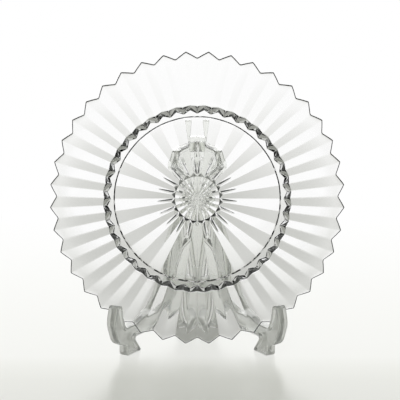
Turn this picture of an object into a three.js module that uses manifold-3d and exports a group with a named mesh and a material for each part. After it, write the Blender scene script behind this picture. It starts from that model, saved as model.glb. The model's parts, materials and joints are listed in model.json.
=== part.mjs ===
// Pleated pressed-glass dish standing on a folding two-piece plate stand.
// Millimetres, +Z up, the dish faces -Y, origin on the floor under the middle of the bounding box.
import * as THREE from "three";
import { mergeVertices } from "three/addons/utils/BufferGeometryUtils.js";
import Module from "manifold-3d";

const wasm = await Module();
wasm.setup();

// Dish: outline and pleats
const pleatCount = 40;
const tipRadius = 100;
const notchRadius = 95.5;
const edgeRound = 0.5;

// Dish: smooth front face, depths measured back from the plane of the tips
const rimInnerRadius = 66;
const rimDrop = 9;
const rimFlare = 0.6;
const frontRadii = [90, 78];
const wellCurve = [
  [63.8, 9.75],
  [61.5, 10.8],
  [59.5, 11.8],
];
const wellRadius = 57.5;
const wellMidRadius = 30;
const wellDepth = 12.2;

// Dish: back of the rim, foot ring and fluted base
const rimThickness = 2.6;
const pleatDepth = 1.95;
const pleatFadeStart = 76;
const pleatFadeEnd = 97;
const rimBackRadii = [70, 76, 82, 88, 93];
const footDepth = 19;
const footInnerRadius = 58.2;
const footOuterAtGroove = 60.3;
const footOuterAtRidge = 62.7;
const footWallTop = 65.2;
const footInnerStep = 0.8;
const fluteCount = 20;
const fluteSlopeInner = 27;
const fluteSlopeOuter = 18;
const fluteRadii = [30, 44];
const baseDepth = 14.6;
const rosetteRadius = 16.8;
const rosetteDepth = 16.5;
const rosetteRayDepth = 0.5;
const rosetteInner = 6;
const rosetteEdge = 0.9;

// Where the dish sits on the stand, measured from the hinge axis and the floor
const dishLean = THREE.MathUtils.degToRad(19);
const dishForward = 46.6;
const dishHeight = 103;

// Stand: one moulded panel on each side of the hinge
const halfAngle = THREE.MathUtils.degToRad(30);
const panelThickness = 6.9;
const foldGap = 0.25;
const edgeBevel = 0.7;
const beadWidth = 2.2;
const webThickness = 3;
const standHeight = 148;
const archHeight = 11;
const seatHeight = 19.6;
const rearInset = 0.15;
const shoulderHeight = 131;
const prongBottom = 127;
const prongWidth = 6.2;
const prongThickness = 4.4;
const prongRound = 2.1;
const prongCap = 0.9;

// Stand: hinge with moulded pins on one half and snap clips on the other
const knuckleRadius = 3.6;
const pinRadius = 1.5;
const clearance = 0.3;
const clipHeight = 6;
const lugHeight = 3.5;
const clipMouth = 2.3;
const hingeCentres = [27, 129];

// Triangle wave: 0 at every multiple of the period, 1 half way between.
function triangleWave(angle, period) {
  const turn = angle / period - Math.floor(angle / period);
  return 1 - Math.abs(2 * turn - 1);
}

function rimFront(radius) {
  const t = (tipRadius - radius) / (tipRadius - rimInnerRadius);
  return (rimDrop + rimFlare) * t - rimFlare * t * t;
}

// One ring of the dish profile: radius and depth in the groove lines and on the ridge lines.
function ring(grooveRadius, grooveDepth, ridgeRadius, ridgeDepth, repeats) {
  return { grooveRadius, grooveDepth, ridgeRadius, ridgeDepth, repeats };
}

function plainRing(radius, depth) {
  return ring(radius, depth, radius, depth, pleatCount);
}

// Pleats keep their depth over the inner rim and run out before the edge.
function pleatRise(radius) {
  const t = (radius - pleatFadeStart) / (pleatFadeEnd - pleatFadeStart);
  return pleatDepth * (1 - THREE.MathUtils.clamp(t, 0, 1) ** 2);
}

function rimBackRing(radius) {
  const groove = rimFront(radius) + rimThickness;
  return ring(radius, groove, radius, groove + pleatRise(radius), pleatCount);
}

// Ring on the zigzag edge, taken in from the outline and back from the front face.
function edgeRing(inset, depth) {
  return ring(
    notchRadius - inset,
    rimFront(notchRadius) + depth,
    tipRadius - inset,
    rimFront(tipRadius) + depth,
    pleatCount,
  );
}

// Flutes are steepest next to the rosette.
function fluteRing(radius) {
  const out = (radius - rosetteRadius) / (footInnerRadius - rosetteRadius);
  const slope = THREE.MathUtils.lerp(fluteSlopeInner, fluteSlopeOuter, out);
  const flank = Math.tan(THREE.MathUtils.degToRad(slope));
  const rise = radius * Math.tan(Math.PI / fluteCount) * flank;
  return ring(radius, baseDepth, radius, baseDepth + rise, fluteCount);
}

function rosetteRing(radius) {
  const dip = rosetteRayDepth * (radius / rosetteRadius);
  return ring(radius, rosetteDepth - dip, radius, rosetteDepth, pleatCount);
}

// Profile from the middle of the back, out round the edge, and in over the front to the middle.
const dishRings = [
  plainRing(0, rosetteDepth),
  rosetteRing(rosetteInner),
  rosetteRing(rosetteRadius - 2 * rosetteEdge),
  plainRing(rosetteRadius - rosetteEdge, rosetteDepth),
  fluteRing(rosetteRadius),
  ...fluteRadii.map(fluteRing),
  fluteRing(footInnerRadius - footInnerStep),
  plainRing(footInnerRadius, footDepth),
  ring(footOuterAtGroove, footDepth, footOuterAtRidge, footDepth, pleatCount),
  rimBackRing(footWallTop),
  ...rimBackRadii.map(rimBackRing),
  edgeRing(edgeRound, rimThickness),
  edgeRing(0, rimThickness - edgeRound),
  edgeRing(0, edgeRound),
  edgeRing(edgeRound, 0),
  ...frontRadii.map((radius) => plainRing(radius, rimFront(radius))),
  plainRing(rimInnerRadius, rimFront(rimInnerRadius)),
  ...wellCurve.map(([radius, depth]) => plainRing(radius, depth)),
  plainRing(wellRadius, wellDepth),
  plainRing(wellMidRadius, wellDepth),
  plainRing(0, wellDepth),
];

// Turned blank of the dish, then every vertex moved onto its groove or ridge line.
function makeDish() {
  const columns = 2 * pleatCount;
  const blank = dishRings.map((r) => new THREE.Vector2(r.grooveRadius, -r.grooveDepth));
  const dish = new THREE.LatheGeometry(blank, columns);
  const position = dish.attributes.position;
  for (let column = 0; column <= columns; column++) {
    const angle = ((column % columns) / columns) * 2 * Math.PI;
    dishRings.forEach((r, row) => {
      const wave = triangleWave(angle, (2 * Math.PI) / r.repeats);
      const share = r.repeats === fluteCount ? 1 - wave : wave;
      const radius = THREE.MathUtils.lerp(r.grooveRadius, r.ridgeRadius, share);
      const depth = THREE.MathUtils.lerp(r.grooveDepth, r.ridgeDepth, share);
      position.setXYZ(
        column * dishRings.length + row,
        radius * Math.sin(angle),
        -depth,
        radius * Math.cos(angle),
      );
    });
  }
  dish.rotateX(Math.PI - dishLean);
  dish.translate(0, -dishForward, dishHeight);
  return dish;
}

// Corners of the panel outline as [along, up, corner radius], round it counter-clockwise:
// rear foot, arch, front foot, hook, seat, arm, lower lobe, waist, upper lobe and shoulder.
const panelCorners = [
  [rearInset, 0, 0.8],
  [18, 0, 0.8],
  [15, 8, 3],
  [22, 17, 5],
  [38, 17, 12],
  [58, archHeight, 14],
  [83.6, archHeight, 1.2],
  [75, 0, 0.8],
  [92.5, 0, 2],
  [92.5, 7, 1.5],
  [102.5, 11.5, 9],
  [108.4, 25.5, 13],
  [104.6, 38, 2.6],
  [98.6, 36.4, 2],
  [97, 27.5, 10],
  [93.5, seatHeight, 4],
  [80, seatHeight, 4],
  [70, 21.6, 8],
  [56, 23, 16],
  [41.5, 29, 9],
  [36, 41, 10],
  [34, 50, 8],
  [28.5, 62, 9],
  [17, 70, 6],
  [11.5, 79, 9],
  [11.5, 99, 9],
  [17, 107.5, 6],
  [28.4, 119.5, 4.5],
  [24, 128.6, 4],
  [9.5, shoulderHeight, 2],
  [rearInset, shoulderHeight, 0.8],
];

// Moves every side of a corner list to its left by a distance and rounds the corners to suit.
function offsetCorners(corners, distance) {
  const count = corners.length;
  const sides = corners.map(([x, y], i) => {
    const [nextX, nextY] = corners[(i + 1) % count];
    const length = Math.hypot(nextX - x, nextY - y);
    const alongX = (nextX - x) / length;
    const alongY = (nextY - y) / length;
    return { x: x - alongY * distance, y: y + alongX * distance, alongX, alongY };
  });
  return sides.map((side, i) => {
    const before = sides[(i + count - 1) % count];
    const cross = before.alongX * side.alongY - before.alongY * side.alongX;
    const gapX = side.x - before.x;
    const gapY = side.y - before.y;
    const t = (gapX * side.alongY - gapY * side.alongX) / cross;
    const radius = Math.max(corners[i][2] - Math.sign(cross) * distance, 0.4);
    return [before.x + before.alongX * t, before.y + before.alongY * t, radius];
  });
}

// Traces a corner list into a shape or hole, with an arc of the given radius at each corner.
function tracePath(path, corners) {
  const count = corners.length;
  corners.forEach(([x, y, radius], i) => {
    const here = new THREE.Vector2(x, y);
    const before = corners[(i + count - 1) % count];
    const after = corners[(i + 1) % count];
    const back = new THREE.Vector2(before[0], before[1]).sub(here).normalize();
    const ahead = new THREE.Vector2(after[0], after[1]).sub(here).normalize();
    const half = Math.acos(THREE.MathUtils.clamp(back.dot(ahead), -1, 1)) / 2;
    const reach = radius / Math.tan(half);
    const middle = back.clone().add(ahead).normalize();
    const centre = here.clone().addScaledVector(middle, radius / Math.sin(half));
    const start = here.clone().addScaledVector(back, reach).sub(centre);
    const sweep = Math.PI - 2 * half;
    const turn = Math.sign(back.x * ahead.y - back.y * ahead.x);
    const steps = Math.max(2, Math.ceil((sweep * Math.sqrt(radius)) / 0.55));
    for (let step = 0; step <= steps; step++) {
      const point = start.clone();
      point.rotateAround(new THREE.Vector2(), (-turn * sweep * step) / steps);
      point.add(centre);
      if (i === 0 && step === 0) path.moveTo(point.x, point.y);
      else path.lineTo(point.x, point.y);
    }
  });
  path.closePath();
  return path;
}

function solid(geometry) {
  const bare = geometry.clone();
  bare.deleteAttribute("normal");
  bare.deleteAttribute("uv");
  const merged = mergeVertices(bare, 1e-4);
  return new wasm.Manifold(
    new wasm.Mesh({
      numProp: 3,
      vertProperties: merged.attributes.position.array,
      triVerts: merged.index.array,
    }),
  );
}

function block(sizeX, sizeY, sizeZ, x, y, z) {
  return solid(new THREE.BoxGeometry(sizeX, sizeY, sizeZ).translate(x, y, z));
}

function upright(radius, bottom, top) {
  const height = top - bottom;
  return solid(
    new THREE.CylinderGeometry(radius, radius, height, 24).translate(0, bottom + height / 2, 0),
  );
}

// Upright bar above the shoulder, rounded along its edges and at its top.
function makeProng(middle) {
  const outer = rearInset + prongWidth;
  const half = prongThickness / 2;
  const section = tracePath(new THREE.Shape(), [
    [rearInset, -half, prongRound],
    [outer, -half, prongRound],
    [outer, half, prongRound],
    [rearInset, half, prongRound],
  ]);
  const bar = new THREE.ExtrudeGeometry(section, {
    depth: standHeight - prongBottom - 2 * prongCap,
    bevelThickness: prongCap,
    bevelSize: prongCap,
    bevelOffset: -prongCap,
    bevelSegments: 2,
  });
  bar.rotateX(-Math.PI / 2);
  return solid(bar.translate(0, prongBottom + prongCap, middle));
}

// One panel in its own plane: X along it from the hinge axis, Y up, Z through its thickness.
// A bead runs round its edge; the field inside the bead is only as thick as the web.
function makePanel(middle) {
  const outline = tracePath(new THREE.Shape(), panelCorners);
  const body = new THREE.ExtrudeGeometry(outline, {
    depth: panelThickness - 2 * edgeBevel,
    bevelThickness: edgeBevel,
    bevelSize: edgeBevel,
    bevelOffset: -edgeBevel,
    bevelSegments: 2,
  });
  body.translate(0, 0, middle - panelThickness / 2 + edgeBevel);
  const field = tracePath(new THREE.Shape(), offsetCorners(panelCorners, beadWidth));
  const sinking = new THREE.ExtrudeGeometry(field, { depth: panelThickness, bevelEnabled: false });
  let panel = solid(body);
  for (const face of [1, -1]) {
    const skin = middle + (face * (webThickness + panelThickness)) / 2;
    panel = panel.subtract(solid(sinking.clone().translate(0, 0, skin - panelThickness / 2)));
  }
  return panel.add(makeProng(middle));
}

// Left half carries snap clips, right half carries lugs joined by pins.
function makeHalf(side) {
  const middle = -side * (foldGap + panelThickness / 2);
  let half = makePanel(middle);
  const hingeHeight = clipHeight + 2 * lugHeight + 2 * clearance;
  const webDepth = knuckleRadius - foldGap;
  const webMiddle = -side * (foldGap + webDepth / 2);
  const webLength = knuckleRadius + 2;
  for (const centre of hingeCentres) {
    const bottom = centre - hingeHeight / 2;
    const top = centre + hingeHeight / 2;
    half = half.subtract(upright(knuckleRadius + clearance, bottom - clearance, top + clearance));
    if (side < 0) {
      const low = centre - clipHeight / 2;
      const high = centre + clipHeight / 2;
      const web = block(webLength, clipHeight, webDepth, webLength / 2, centre, webMiddle);
      const mouth = block(2 * knuckleRadius, clipHeight + 2, clipMouth, -knuckleRadius, centre, 0);
      const clip = upright(knuckleRadius, low, high).add(web);
      const bore = upright(pinRadius + clearance, low - 1, high + 1);
      half = half.add(clip.subtract(bore).subtract(mouth));
    } else {
      for (const low of [bottom, top - lugHeight]) {
        const up = low + lugHeight / 2;
        half = half.add(upright(knuckleRadius, low, low + lugHeight));
        half = half.add(block(webLength, lugHeight, webDepth, webLength / 2, up, webMiddle));
      }
      half = half.add(upright(pinRadius, bottom + 1, top - 1));
    }
  }
  const mesh = half.getMesh();
  const geometry = new THREE.BufferGeometry();
  geometry.setAttribute("position", new THREE.BufferAttribute(mesh.vertProperties, 3));
  geometry.setIndex(new THREE.BufferAttribute(mesh.triVerts, 1));
  const along = new THREE.Vector3(side * Math.sin(halfAngle), -Math.cos(halfAngle), 0);
  const up = new THREE.Vector3(0, 0, 1);
  const through = along.clone().cross(up);
  geometry.applyMatrix4(new THREE.Matrix4().makeBasis(along, up, through));
  return geometry;
}

const group = new THREE.Group();
const pieces = [
  ["glass_dish", makeDish(), 0xf1f4f0, 0.03],
  ["stand_left", makeHalf(-1), 0xe3e5e0, 0.12],
  ["stand_right", makeHalf(1), 0xe3e5e0, 0.12],
];
for (const [name, geometry, color, roughness] of pieces) {
  const mesh = new THREE.Mesh(geometry, new THREE.MeshStandardMaterial({ color, roughness }));
  mesh.name = name;
  group.add(mesh);
}

// The hinge axis goes back far enough to centre the bounding box on the origin.
const middleY = new THREE.Box3().setFromObject(group).getCenter(new THREE.Vector3()).y;
for (const mesh of group.children) mesh.geometry.translate(0, -middleY, 0);

export default group;
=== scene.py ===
import json
import math

import bmesh
import bpy
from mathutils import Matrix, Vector


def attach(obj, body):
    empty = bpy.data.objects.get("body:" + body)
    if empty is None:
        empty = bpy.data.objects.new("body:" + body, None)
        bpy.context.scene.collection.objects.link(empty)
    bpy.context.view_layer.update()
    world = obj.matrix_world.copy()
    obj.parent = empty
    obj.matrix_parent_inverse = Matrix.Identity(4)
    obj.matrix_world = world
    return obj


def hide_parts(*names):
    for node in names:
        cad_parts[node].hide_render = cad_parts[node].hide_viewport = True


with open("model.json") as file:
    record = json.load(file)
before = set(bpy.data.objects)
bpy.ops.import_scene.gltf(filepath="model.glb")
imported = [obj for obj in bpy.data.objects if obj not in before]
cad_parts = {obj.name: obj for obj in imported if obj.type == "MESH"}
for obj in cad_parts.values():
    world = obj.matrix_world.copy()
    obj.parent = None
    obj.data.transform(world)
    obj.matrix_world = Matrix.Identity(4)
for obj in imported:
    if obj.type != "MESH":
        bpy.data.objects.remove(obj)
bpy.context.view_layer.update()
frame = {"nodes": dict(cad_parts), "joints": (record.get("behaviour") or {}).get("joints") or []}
scene = bpy.context.scene
millimetre = 0.001
print("frame loaded:", sorted(frame["nodes"]))


def hexColour(text):
    # sRGB hex to the linear values that a shader takes
    channels = [int(text[i : i + 2], 16) / 255 for i in (1, 3, 5)]
    linear = [c / 12.92 if c <= 0.04045 else ((c + 0.055) / 1.055) ** 2.4 for c in channels]
    return (*linear, 1.0)


def addNode(tree, kind, settings=None, values=None, links=None):
    # adds one node, sets its properties and inputs, then links outputs into its inputs
    node = tree.nodes.new(kind)
    for name, value in (settings or {}).items():
        setattr(node, name, value)
    for name, value in (values or {}).items():
        node.inputs[name].default_value = value
    for name, source in (links or {}).items():
        tree.links.new(source, node.inputs[name])
    return node


def newMaterial(name):
    material = bpy.data.materials.new(name)
    material.use_nodes = True
    material.node_tree.nodes.clear()
    return material, material.node_tree


# pressed soda-lime glass: clear, faintly grey-green in depth, fire-polished to a wet gloss
pressedGlass = {
    "name": "pressed soda-lime glass",
    "tint": "#ffffff",
    "reflection": "#959595",  # weak, so that the white behind it stays white
    "roughness": 0.0,
    "clear": 1.0,
    "ior": 1.5,
    "shadow": "#f0f2ef",  # share of light that gets through to the board
    "depthTint": "#dfe8df",
    "depthDensity": 4.0,
    "rippleSize": 9.0,  # mm between the soft ripples that pressing leaves
    "rippleStretch": 1.0,
    "rippleDetail": 1.5,
    "rippleDepth": 0.003,  # mm
}

# clear injection-moulded polystyrene: a little grey, glossy, with fine flow marks and dull hooks
mouldedStyrene = {
    "name": "clear moulded polystyrene",
    "tint": "#fcfdfa",
    "reflection": "#ffffff",
    "roughness": 0.14,
    "grain": 0.28,  # roughness of the hooks and feet
    "grainTop": (40.0, 62.0),  # mm above the floor where the grain runs out
    "clear": 0.96,
    "ior": 1.45,
    "shadow": "#c8cac6",
    "depthTint": "#d9dcd6",
    "depthDensity": 7.0,
    "rippleSize": 1.8,  # mm between flow marks
    "rippleStretch": 4.0,  # they run this many times as far up the moulding
    "rippleDetail": 2.0,
    "rippleDepth": 0.1,
}


def makeClear(look):
    # clear solid: ripples on the surface, tint in depth, and light let through to the board
    material, tree = newMaterial(look["name"])
    place = addNode(tree, "ShaderNodeTexCoord")
    stretch = addNode(
        tree,
        "ShaderNodeMapping",
        values={"Scale": (1, 1, 1 / look["rippleStretch"])},
        links={"Vector": place.outputs["Object"]},
    )
    ripple = addNode(
        tree,
        "ShaderNodeTexNoise",
        values={
            "Scale": 1 / (look["rippleSize"] * millimetre),
            "Detail": look["rippleDetail"],
        },
        links={"Vector": stretch.outputs["Vector"]},
    )
    bump = addNode(
        tree,
        "ShaderNodeBump",
        values={"Strength": 1.0, "Distance": look["rippleDepth"] * millimetre},
        links={"Height": ripple.outputs["Fac"]},
    )
    surfaceLinks = {"Normal": bump.outputs["Normal"]}
    if "grain" in look:
        axes = addNode(tree, "ShaderNodeSeparateXYZ", links={"Vector": place.outputs["Object"]})
        gloss = addNode(
            tree,
            "ShaderNodeMapRange",
            values={
                "From Min": look["grainTop"][0] * millimetre,
                "From Max": look["grainTop"][1] * millimetre,
                "To Min": look["grain"],
                "To Max": look["roughness"],
            },
            links={"Value": axes.outputs["Z"]},
        )
        surfaceLinks["Roughness"] = gloss.outputs["Result"]
    surface = addNode(
        tree,
        "ShaderNodeBsdfPrincipled",
        values={
            "Base Color": hexColour(look["tint"]),
            "Roughness": look["roughness"],
            "IOR": look["ior"],
            "Transmission Weight": look["clear"],
            "Specular Tint": hexColour(look["reflection"]),
        },
        links=surfaceLinks,
    )
    path = addNode(tree, "ShaderNodeLightPath")
    falling = addNode(
        tree,
        "ShaderNodeMath",
        settings={"operation": "MAXIMUM"},
        links={0: path.outputs["Is Shadow Ray"], 1: path.outputs["Is Diffuse Ray"]},
    )
    through = addNode(
        tree, "ShaderNodeBsdfTransparent", values={"Color": hexColour(look["shadow"])}
    )
    blend = addNode(
        tree,
        "ShaderNodeMixShader",
        links={
            "Fac": falling.outputs["Value"],
            1: surface.outputs["BSDF"],
            2: through.outputs["BSDF"],
        },
    )
    depth = addNode(
        tree,
        "ShaderNodeVolumeAbsorption",
        values={"Color": hexColour(look["depthTint"]), "Density": look["depthDensity"]},
    )
    addNode(
        tree,
        "ShaderNodeOutputMaterial",
        links={"Surface": blend.outputs["Shader"], "Volume": depth.outputs["Volume"]},
    )
    return material


# the dish: sizes in mm, slopes in degrees; depths are measured back from the plane of the tips
dish = {
    "pleats": 40,
    "tipRadius": 100.0,
    "notchRadius": 95.5,
    "rimInner": 66.0,
    "rimDrop": 9.0,
    "rimFlare": 0.6,
    "rimThickness": 2.6,
    "edgeRoundBack": 1.0,
    "edgeRoundFront": 0.3,
    "wellTop": 65.2,  # corner between rim and well, and its rounding
    "wellTopRound": 2.6,
    "wellFloor": 58.4,
    "wellFloorRound": 2.8,
    "wellDepth": 12.2,
    "frontRows": (90.0, 84.0, 78.0, 72.0),  # radii that follow the flare of the rim
    "pleatDepth": 1.95,
    "pleatRound": (0.1, 0.06),  # share of a flank that is rounded at the groove and at the ridge
    "toothRound": (0.12, 0.05),
    "fluteRound": (0.03, 0.03),
    "fadeStart": 76.0,  # pleats run out between these radii
    "fadeEnd": 97.0,
    "backRows": (70.0, 76.0, 79.0, 82.0, 85.0, 88.0, 90.5, 93.0),  # radii that follow the fade
    "footDepth": 18.4,
    "footInner": 57.8,
    "footStep": 1.15,  # width of the step from the base up to the foot
    "footStepRound": 0.15,
    "footGroove": 59.7,
    "footRidge": 62.7,
    "footRound": 0.4,
    "wallGroove": 64.1,  # top of the foot wall, where it meets the back of the rim
    "wallRidge": 65.2,
    "wallRound": 0.5,
    "flutes": 20,
    "fluteSlope": 12.0,
    "fluteInner": 27.0,  # flutes are steeper next to the rosette
    "fluteRows": (26.0, 38.0),  # radii that follow the change of slope
    "baseDepth": 14.6,
    "rosetteRadius": 16.3,
    "rosetteTop": 15.3,  # flat of the rosette inside its sloping wall
    "rosetteDepth": 17.0,
    "rosetteSlope": 22.0,  # its flutes have their grooves where the outer ones have ridges
    "rosetteWall": 44.0,
    "rosetteRound": 0.1,
    "wallLeast": 0.3,  # width that the sloping wall keeps at the low points
    "rayWidth": 0.34,  # share of the half pleat that the fine rays take up
    "rayDepth": 0.14,
    "spokeGap": 0.6,  # from the rosette to the start of a spoke
    "spokeEnd": 26.5,
    "spokeWidth": 1.35,
    "spokeTip": 0.4,  # share of the width that is left at the tip
    "spokeSlope": 38.0,
    "poleRow": 1.5,  # first rows round the two poles
    "wellRow": 20.0,
    "lean": 19.0,
    "forward": 46.6,  # rim centre ahead of the hinge axis
    "height": 103.0,
}
# columns across half a pleat, closer together at the groove and at the ridge
columnShares = (0, 0.04, 0.09, 0.16, 0.28, 0.44, 0.6, 0.74, 0.84, 0.91, 0.96)


def rimFront(radius):
    t = (dish["tipRadius"] - radius) / (dish["tipRadius"] - dish["rimInner"])
    return (dish["rimDrop"] + dish["rimFlare"]) * t - dish["rimFlare"] * t * t


def softFold(share, rounding):
    # straight flank between 0 and 1 with a small round at the groove and at the ridge
    low, high = rounding
    if share < low:
        return share * share / (2 * low) + low / 2
    if share > 1 - high:
        return 1 - (1 - share) ** 2 / (2 * high) - high / 2
    return share


def mix(a, b, share):
    return a + (b - a) * share


def fluteRise(radius):
    # height of the flute ridges over their grooves
    out = (radius - dish["rosetteRadius"]) / (dish["footInner"] - dish["rosetteRadius"])
    slope = mix(dish["fluteInner"], dish["fluteSlope"], min(max(out, 0), 1))
    return radius * math.tan(math.pi / dish["flutes"]) * math.tan(math.radians(slope))


def dishCorners(pleat, flute, outline):
    # corners of the profile at one angle: radius, depth, rounding and rows along the next side
    edge = mix(dish["notchRadius"], dish["tipRadius"], outline)
    wall = math.tan(math.radians(dish["rosetteWall"]))
    top, boss = dish["rosetteTop"], dish["rosetteDepth"]
    start = fluteRise(dish["rosetteRadius"]) / dish["rosetteRadius"]
    dip = math.tan(math.pi / dish["flutes"]) * math.tan(math.radians(dish["rosetteSlope"])) * flute
    meet = (boss - top * dip - dish["baseDepth"] + top * wall) / (wall + start * flute)
    meet = max(meet, top + dish["wallLeast"])

    def back(radius):
        fade = (radius - dish["fadeStart"]) / (dish["fadeEnd"] - dish["fadeStart"])
        rise = dish["pleatDepth"] * (1 - min(max(fade, 0), 1) ** 2)
        return rimFront(radius) + dish["rimThickness"] + rise * pleat

    def base(radius):
        return dish["baseDepth"] + fluteRise(radius) * flute

    soft, pole = dish["rosetteRound"], dish["poleRow"]
    corners = [(0.0, boss, 0, 3), (pole, boss - pole * dip, 0, 8)]
    corners.append((top, boss - top * dip, soft, 2))
    corners.append((meet, base(meet), soft, 8))
    for radius in dish["fluteRows"]:
        corners.append((radius, base(radius), 0, 6))
    step = dish["footInner"] - dish["footStep"]
    corners.append((step, base(step), dish["footStepRound"], 1))
    corners.append((dish["footInner"], dish["footDepth"], dish["footStepRound"], 2))
    foot = mix(dish["footGroove"], dish["footRidge"], pleat)
    wallTop = mix(dish["wallGroove"], dish["wallRidge"], pleat)
    corners.append((foot, dish["footDepth"], dish["footRound"], 4))
    corners.append((wallTop, back(wallTop), dish["wallRound"], 4))
    for radius in dish["backRows"]:
        corners.append((radius, back(radius), 0, 2))
    corners.append((edge, rimFront(edge) + dish["rimThickness"], dish["edgeRoundBack"], 2))
    corners.append((edge, rimFront(edge), dish["edgeRoundFront"], 2))
    for radius in dish["frontRows"]:
        corners.append((radius, rimFront(radius), 0, 2))
    corners.append((dish["wellTop"], rimFront(dish["wellTop"]), dish["wellTopRound"], 3))
    corners.append((dish["wellFloor"], dish["wellDepth"], dish["wellFloorRound"], 6))
    corners.append((dish["wellRow"], dish["wellDepth"], 0, 4))
    corners.append((0.0, dish["wellDepth"], 0, 0))
    return corners


def roundedProfile(corners, steps=4):
    # the same number of rows at every angle: straight sides cut in rows, corners cut in arcs
    points = []
    count = len(corners)
    for i, (radius, depth, fillet, rows) in enumerate(corners):
        here = Vector((radius, depth))
        start = end = here
        if fillet:
            before = (Vector(corners[i - 1][:2]) - here).normalized()
            after = (Vector(corners[i + 1][:2]) - here).normalized()
            start, end = here + before * fillet, here + after * fillet
            for step in range(steps):
                t = step / steps
                points.append(start * (1 - t) ** 2 + here * 2 * t * (1 - t) + end * t * t)
        points.append(end)
        if i + 1 < count:
            ahead = Vector(corners[i + 1][:2])
            if corners[i + 1][2]:
                ahead += (here - ahead).normalized() * corners[i + 1][2]
            for row in range(1, rows):
                points.append(end.lerp(ahead, row / rows))
    return points


def grooveCut(radius, fold, spoke):
    # fine rays on the rosette, and a tapering groove along the flute flanks that face up
    if radius < dish["rosetteTop"]:
        across = max(0.0, 1 - fold / dish["rayWidth"])
        return dish["rayDepth"] * radius / dish["rosetteTop"] * across
    start = dish["rosetteRadius"] + dish["spokeGap"]
    if not spoke or not start < radius < dish["spokeEnd"]:
        return 0.0
    taper = (dish["spokeEnd"] - radius) / (dish["spokeEnd"] - dish["rosetteRadius"])
    width = dish["spokeWidth"] * mix(dish["spokeTip"], 1, taper)
    across = (1 - fold) * radius * math.tan(math.pi / dish["pleats"])
    return math.tan(math.radians(dish["spokeSlope"])) * max(0.0, width - across)


def toRowFrame(hingeY, sideways, out, depth):
    # dish axes to the row frame: out runs down the leaning plane, depth runs back
    lean = math.radians(dish["lean"])
    y = hingeY - dish["forward"] - out * math.sin(lean) + depth * math.cos(lean)
    z = dish["height"] - out * math.cos(lean) - depth * math.sin(lean)
    return Vector((sideways, y, z)) * millimetre


def makeDish(hingeY):
    vertices, faces = [], []
    columns = [(half, share) for half in range(2 * dish["pleats"]) for share in columnShares]
    for half, share in columns:
        angle = math.pi * (half + share) / dish["pleats"]
        fold = share if half % 2 == 0 else 1 - share
        quarter = half % 4
        flutePlace = (quarter + share) / 2 if quarter < 2 else 2 - (quarter + share) / 2
        pleat = softFold(fold, dish["pleatRound"])
        outline = softFold(fold, dish["toothRound"])
        flute = softFold(1 - flutePlace, dish["fluteRound"])
        spoke = (half // 2 % 2 == 1) == (half < dish["pleats"])
        for radius, depth in roundedProfile(dishCorners(pleat, flute, outline)):
            if depth > dish["baseDepth"] - 1:  # on the back of the glass
                depth -= grooveCut(radius, fold, spoke)
            vertices.append(
                toRowFrame(hingeY, radius * math.sin(angle), radius * math.cos(angle), depth)
            )
    rows = len(vertices) // len(columns)
    for column in range(len(columns)):
        nextColumn = (column + 1) % len(columns)
        for row in range(rows - 1):
            a, b = column * rows + row, nextColumn * rows + row
            faces.append((a, b, b + 1, a + 1))
    mesh = bpy.data.meshes.new("pressed_dish")
    mesh.from_pydata(vertices, [], faces)
    obj = bpy.data.objects.new("pressed_dish", mesh)
    scene.collection.objects.link(obj)
    return obj


weldDistance = 1e-7  # metres
sliverLength = 1e-8


def closeMesh(obj):
    # welds the columns at the two poles, drops the slivers there and turns the faces outwards
    work = bmesh.new()
    work.from_mesh(obj.data)
    bmesh.ops.remove_doubles(work, verts=work.verts, dist=weldDistance)
    bmesh.ops.dissolve_degenerate(work, edges=work.edges, dist=sliverLength)
    bmesh.ops.recalc_face_normals(work, faces=work.faces)
    work.to_mesh(obj.data)
    work.free()
    obj.data.shade_smooth()


glassMaterial = makeClear(pressedGlass)
styreneMaterial = makeClear(mouldedStyrene)
hingeY = next(j for j in frame["joints"] if j["name"] == "stand_fold")["pos_m"][1] / millimetre
pressedDish = makeDish(hingeY)
closeMesh(pressedDish)
pressedDish.data.materials.append(glassMaterial)
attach(pressedDish, "dish")
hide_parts("glass_dish")
print("dish:", len(pressedDish.data.vertices), "vertices")

for nodeName in ("stand_left", "stand_right"):
    half = frame["nodes"][nodeName]
    half.data.materials.clear()
    half.data.materials.append(styreneMaterial)
print("stand dressed")

# studio: white glossy board with a painted glow as the floor, white backdrop as the world, a broad
# soft box behind
studio = {
    "board": "#cdcec7",
    "boardRoughness": 0.24,
    "boardIor": 1.5,
    "boardHalf": 3.0,
    "boardPaintedGlow": [  # metres back and the strength of the painted glow that the glass sees on the board there, dimmed just behind the dish as painted shade
        (-0.1, 0.75),
        (-0.04, 0.62),
        (0.0, 0.37),
        (0.03, 0.44),
        (0.08, 0.57),
        (0.3, 0.71),
        (0.5, 0.85),
        (0.7, 0.94),
        (1.1, 1.0),
    ],
    "boardShown": [(0.3, 0.66), (0.75, 1.0)],  # and how far the glass sees that painted glow rather than the board's own sheen
    # tint of the painted glow where it is dim
    "glowTint": "#fbfdee",
    "boardWhiteGlow": [  # metres back and how far the camera sees the board as painted white glow there
        (-0.18, 0.36),
        (-0.12, 0.36),
        (-0.085, 0.42),
        (-0.06, 0.54),
        (-0.035, 0.71),
        (0.0, 0.74),
        (0.05, 0.76),
        (0.12, 0.8),
        (0.2, 0.86),
        (0.38, 1.0),
    ],
    "backdropFrom": 0.72,  # the backdrop fades out to the sides between these cosines
    "backdropTo": 0.94,
    "roomGrey": "#484947",
    "ceilingFrom": 0.6,  # and upwards between these sines of the height of view
    "ceilingTo": 0.97,
    "stripFrom": 0.7,  # two white strips overhead, which the foot ring shows as pale facets
    "stripTo": 0.8,
    "asideFrom": 0.34,  # they begin this far to either side
    "asideTo": 0.44,
    "fill": 0.28,
}
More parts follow.
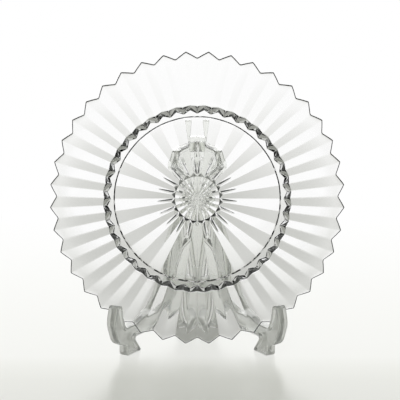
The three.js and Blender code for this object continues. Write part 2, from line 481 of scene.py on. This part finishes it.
# metres and watts; sheen means that glossy surfaces show the lamp
lamps = {
    "key": {
        "place": (-0.3, -2.2, 1.5),
        "target": (0, 0.1, 0.05),
        "size": (0.6, 0.6),
        "power": 14.0,
        "sheen": False,
    },
    "soft box": {
        "place": (0, 1.7, 0.65),
        "target": (0, 0, 0.65),
        "size": (3.0, 1.2),
        "power": 20.0,
        "sheen": True,
    },
}


def boardTone(tree, place, stops):
    # grey that changes from the front of the board to the back, from the first stop to the last
    start, end = stops[0][0], stops[-1][0]
    along = addNode(
        tree,
        "ShaderNodeMapRange",
        values={"From Min": start, "From Max": end},
        links={"Value": place},
    )
    ramp = addNode(tree, "ShaderNodeValToRGB", links={"Fac": along.outputs["Result"]})
    elements = ramp.color_ramp.elements
    for i, (metres, grey) in enumerate(stops):
        share = (metres - start) / (end - start)
        stop = elements.new(share) if 0 < i < len(stops) - 1 else elements[0 if i == 0 else -1]
        stop.color = (grey, grey, grey, 1)
    return ramp


def makeFloor():
    far = studio["boardHalf"]
    corners = [(-far, -far, 0), (far, -far, 0), (far, far, 0), (-far, far, 0)]
    mesh = bpy.data.meshes.new("floor")
    mesh.from_pydata(corners, [], [(0, 1, 2, 3)])
    floor = bpy.data.objects.new("floor", mesh)
    scene.collection.objects.link(floor)
    # white board of acrylic: a soft sheen in front; painted white glow whitens it towards the
    # backdrop, and the painted glow dims just behind the dish as painted shade
    material, tree = newMaterial("white acrylic board with painted glow")
    path = addNode(tree, "ShaderNodeLightPath")
    place = addNode(tree, "ShaderNodeTexCoord")
    axes = addNode(tree, "ShaderNodeSeparateXYZ", links={"Vector": place.outputs["Object"]})
    board = addNode(
        tree,
        "ShaderNodeBsdfPrincipled",
        values={
            "Base Color": hexColour(studio["board"]),
            "Roughness": studio["boardRoughness"],
            "IOR": studio["boardIor"],
        },
    )
    # painted glow that the glass sees, painted white glow that the camera sees, and the share of
    # each against the real board
    glow = boardTone(tree, axes.outputs["Y"], studio["boardPaintedGlow"])
    seen = boardTone(tree, axes.outputs["Y"], studio["boardWhiteGlow"])
    shown = boardTone(tree, axes.outputs["Y"], studio["boardShown"])
    strength = addNode(
        tree,
        "ShaderNodeMath",
        settings={"operation": "MAXIMUM"},
        links={0: path.outputs["Is Camera Ray"], 1: glow.outputs["Color"]},
    )
    share = addNode(
        tree,
        "ShaderNodeMix",
        links={
            "Factor": path.outputs["Is Camera Ray"],
            "A": shown.outputs["Color"],
            "B": seen.outputs["Color"],
        },
    )
    pale = addNode(
        tree,
        "ShaderNodeMix",
        links={
            "Factor": path.outputs["Is Camera Ray"],
            "A": glow.outputs["Color"],
            "B": seen.outputs["Color"],
        },
    )
    colour = addNode(
        tree,
        "ShaderNodeMix",
        settings={"data_type": "RGBA"},
        values={"A": hexColour(studio["glowTint"]), "B": hexColour("#ffffff")},
        links={"Factor": pale.outputs["Result"]},
    )
    # painted glow: the board gives off this light itself, though it is no lamp
    white = addNode(
        tree,
        "ShaderNodeEmission",
        links={"Color": colour.outputs["Result"], "Strength": strength.outputs["Value"]},
    )
    blend = addNode(
        tree,
        "ShaderNodeMixShader",
        links={
            "Fac": share.outputs["Result"],
            1: board.outputs["BSDF"],
            2: white.outputs["Emission"],
        },
    )
    addNode(tree, "ShaderNodeOutputMaterial", links={"Surface": blend.outputs["Shader"]})
    mesh.materials.append(material)


def makeWorld():
    world = bpy.data.worlds.new("studio")
    scene.world = world
    world.use_nodes = True
    tree = world.node_tree
    tree.nodes.clear()
    place = addNode(tree, "ShaderNodeTexCoord")
    axes = addNode(tree, "ShaderNodeSeparateXYZ", links={"Vector": place.outputs["Generated"]})
    behind = addNode(
        tree,
        "ShaderNodeMapRange",
        settings={"interpolation_type": "SMOOTHSTEP"},
        values={"From Min": studio["backdropFrom"], "From Max": studio["backdropTo"]},
        links={"Value": axes.outputs["Y"]},
    )
    below = addNode(
        tree,
        "ShaderNodeMapRange",
        settings={"interpolation_type": "SMOOTHSTEP"},
        values={
            "From Min": studio["ceilingFrom"],
            "From Max": studio["ceilingTo"],
            "To Min": 1.0,
            "To Max": 0.0,
        },
        links={"Value": axes.outputs["Z"]},
    )
    white = addNode(
        tree,
        "ShaderNodeMath",
        settings={"operation": "MULTIPLY"},
        links={0: behind.outputs["Result"], 1: below.outputs["Result"]},
    )
    above = addNode(
        tree,
        "ShaderNodeMapRange",
        settings={"interpolation_type": "SMOOTHSTEP"},
        values={"From Min": studio["stripFrom"], "From Max": studio["stripTo"]},
        links={"Value": axes.outputs["Z"]},
    )
    aside = addNode(
        tree,
        "ShaderNodeMath",
        settings={"operation": "ABSOLUTE"},
        links={0: axes.outputs["X"]},
    )
    outer = addNode(
        tree,
        "ShaderNodeMapRange",
        settings={"interpolation_type": "SMOOTHSTEP"},
        values={"From Min": studio["asideFrom"], "From Max": studio["asideTo"]},
        links={"Value": aside.outputs["Value"]},
    )
    strips = addNode(
        tree,
        "ShaderNodeMath",
        settings={"operation": "MULTIPLY"},
        links={0: above.outputs["Result"], 1: outer.outputs["Result"]},
    )
    pale = addNode(
        tree,
        "ShaderNodeMath",
        settings={"operation": "MAXIMUM"},
        links={0: white.outputs["Value"], 1: strips.outputs["Value"]},
    )
    colour = addNode(
        tree,
        "ShaderNodeMix",
        settings={"data_type": "RGBA"},
        values={"A": hexColour(studio["roomGrey"]), "B": hexColour("#ffffff")},
        links={"Factor": pale.outputs["Value"]},
    )
    seen = addNode(
        tree,
        "ShaderNodeBackground",
        values={"Strength": 1.0},
        links={"Color": colour.outputs["Result"]},
    )
    light = addNode(tree, "ShaderNodeBackground", values={"Strength": studio["fill"]})
    path = addNode(tree, "ShaderNodeLightPath")
    glossy = addNode(
        tree,
        "ShaderNodeMath",
        settings={"operation": "MAXIMUM"},
        links={0: path.outputs["Is Camera Ray"], 1: path.outputs["Is Glossy Ray"]},
    )
    clear = addNode(
        tree,
        "ShaderNodeMath",
        settings={"operation": "MAXIMUM"},
        links={0: glossy.outputs["Value"], 1: path.outputs["Is Transmission Ray"]},
    )
    blend = addNode(
        tree,
        "ShaderNodeMixShader",
        links={
            "Fac": clear.outputs["Value"],
            1: light.outputs["Background"],
            2: seen.outputs["Background"],
        },
    )
    addNode(tree, "ShaderNodeOutputWorld", links={"Surface": blend.outputs["Shader"]})


def makeLamp(name, lamp):
    data = bpy.data.lights.new(name, "AREA")
    data.shape = "RECTANGLE"
    data.size, data.size_y = lamp["size"]
    data.energy = lamp["power"]
    obj = bpy.data.objects.new(name, data)
    obj.location = lamp["place"]
    aim = Vector(lamp["target"]) - Vector(lamp["place"])
    obj.rotation_euler = aim.to_track_quat("-Z", "Y").to_euler()
    obj.visible_glossy = lamp["sheen"]
    obj.visible_transmission = False
    obj.visible_camera = False
    scene.collection.objects.link(obj)


makeFloor()
makeWorld()
for lampName, lamp in lamps.items():
    makeLamp(lampName, lamp)
print("studio lit")

# camera: in line with the dish, a little above it, framed so the rim falls where the photo has it
cameraSet = {
    "elevation": 12.0,
    "distance": 1.1,
    "mmAcross": 271.0,
    "centrePixel": (197.25, 195.9),
    "frame": 400,
    "sensor": 36.0,
}


def makeCamera():
    data = bpy.data.cameras.new("camera")
    camera = bpy.data.objects.new("camera", data)
    scene.collection.objects.link(camera)
    scene.camera = camera
    tilt = math.radians(cameraSet["elevation"])
    target = toRowFrame(hingeY, 0, 0, 0)
    back = Vector((0, -math.cos(tilt), math.sin(tilt)))
    camera.location = target + back * cameraSet["distance"]
    camera.rotation_euler = (-back).to_track_quat("-Z", "Y").to_euler()
    data.sensor_width = cameraSet["sensor"]
    data.lens = cameraSet["sensor"] * cameraSet["distance"] / (cameraSet["mmAcross"] * millimetre)
    middle = cameraSet["frame"] / 2
    data.shift_x = (middle - cameraSet["centrePixel"][0]) / cameraSet["frame"]
    data.shift_y = (cameraSet["centrePixel"][1] - middle) / cameraSet["frame"]


makeCamera()
scene.view_settings.view_transform = "Standard"
bpy.context.view_layer.update()
print("camera set")
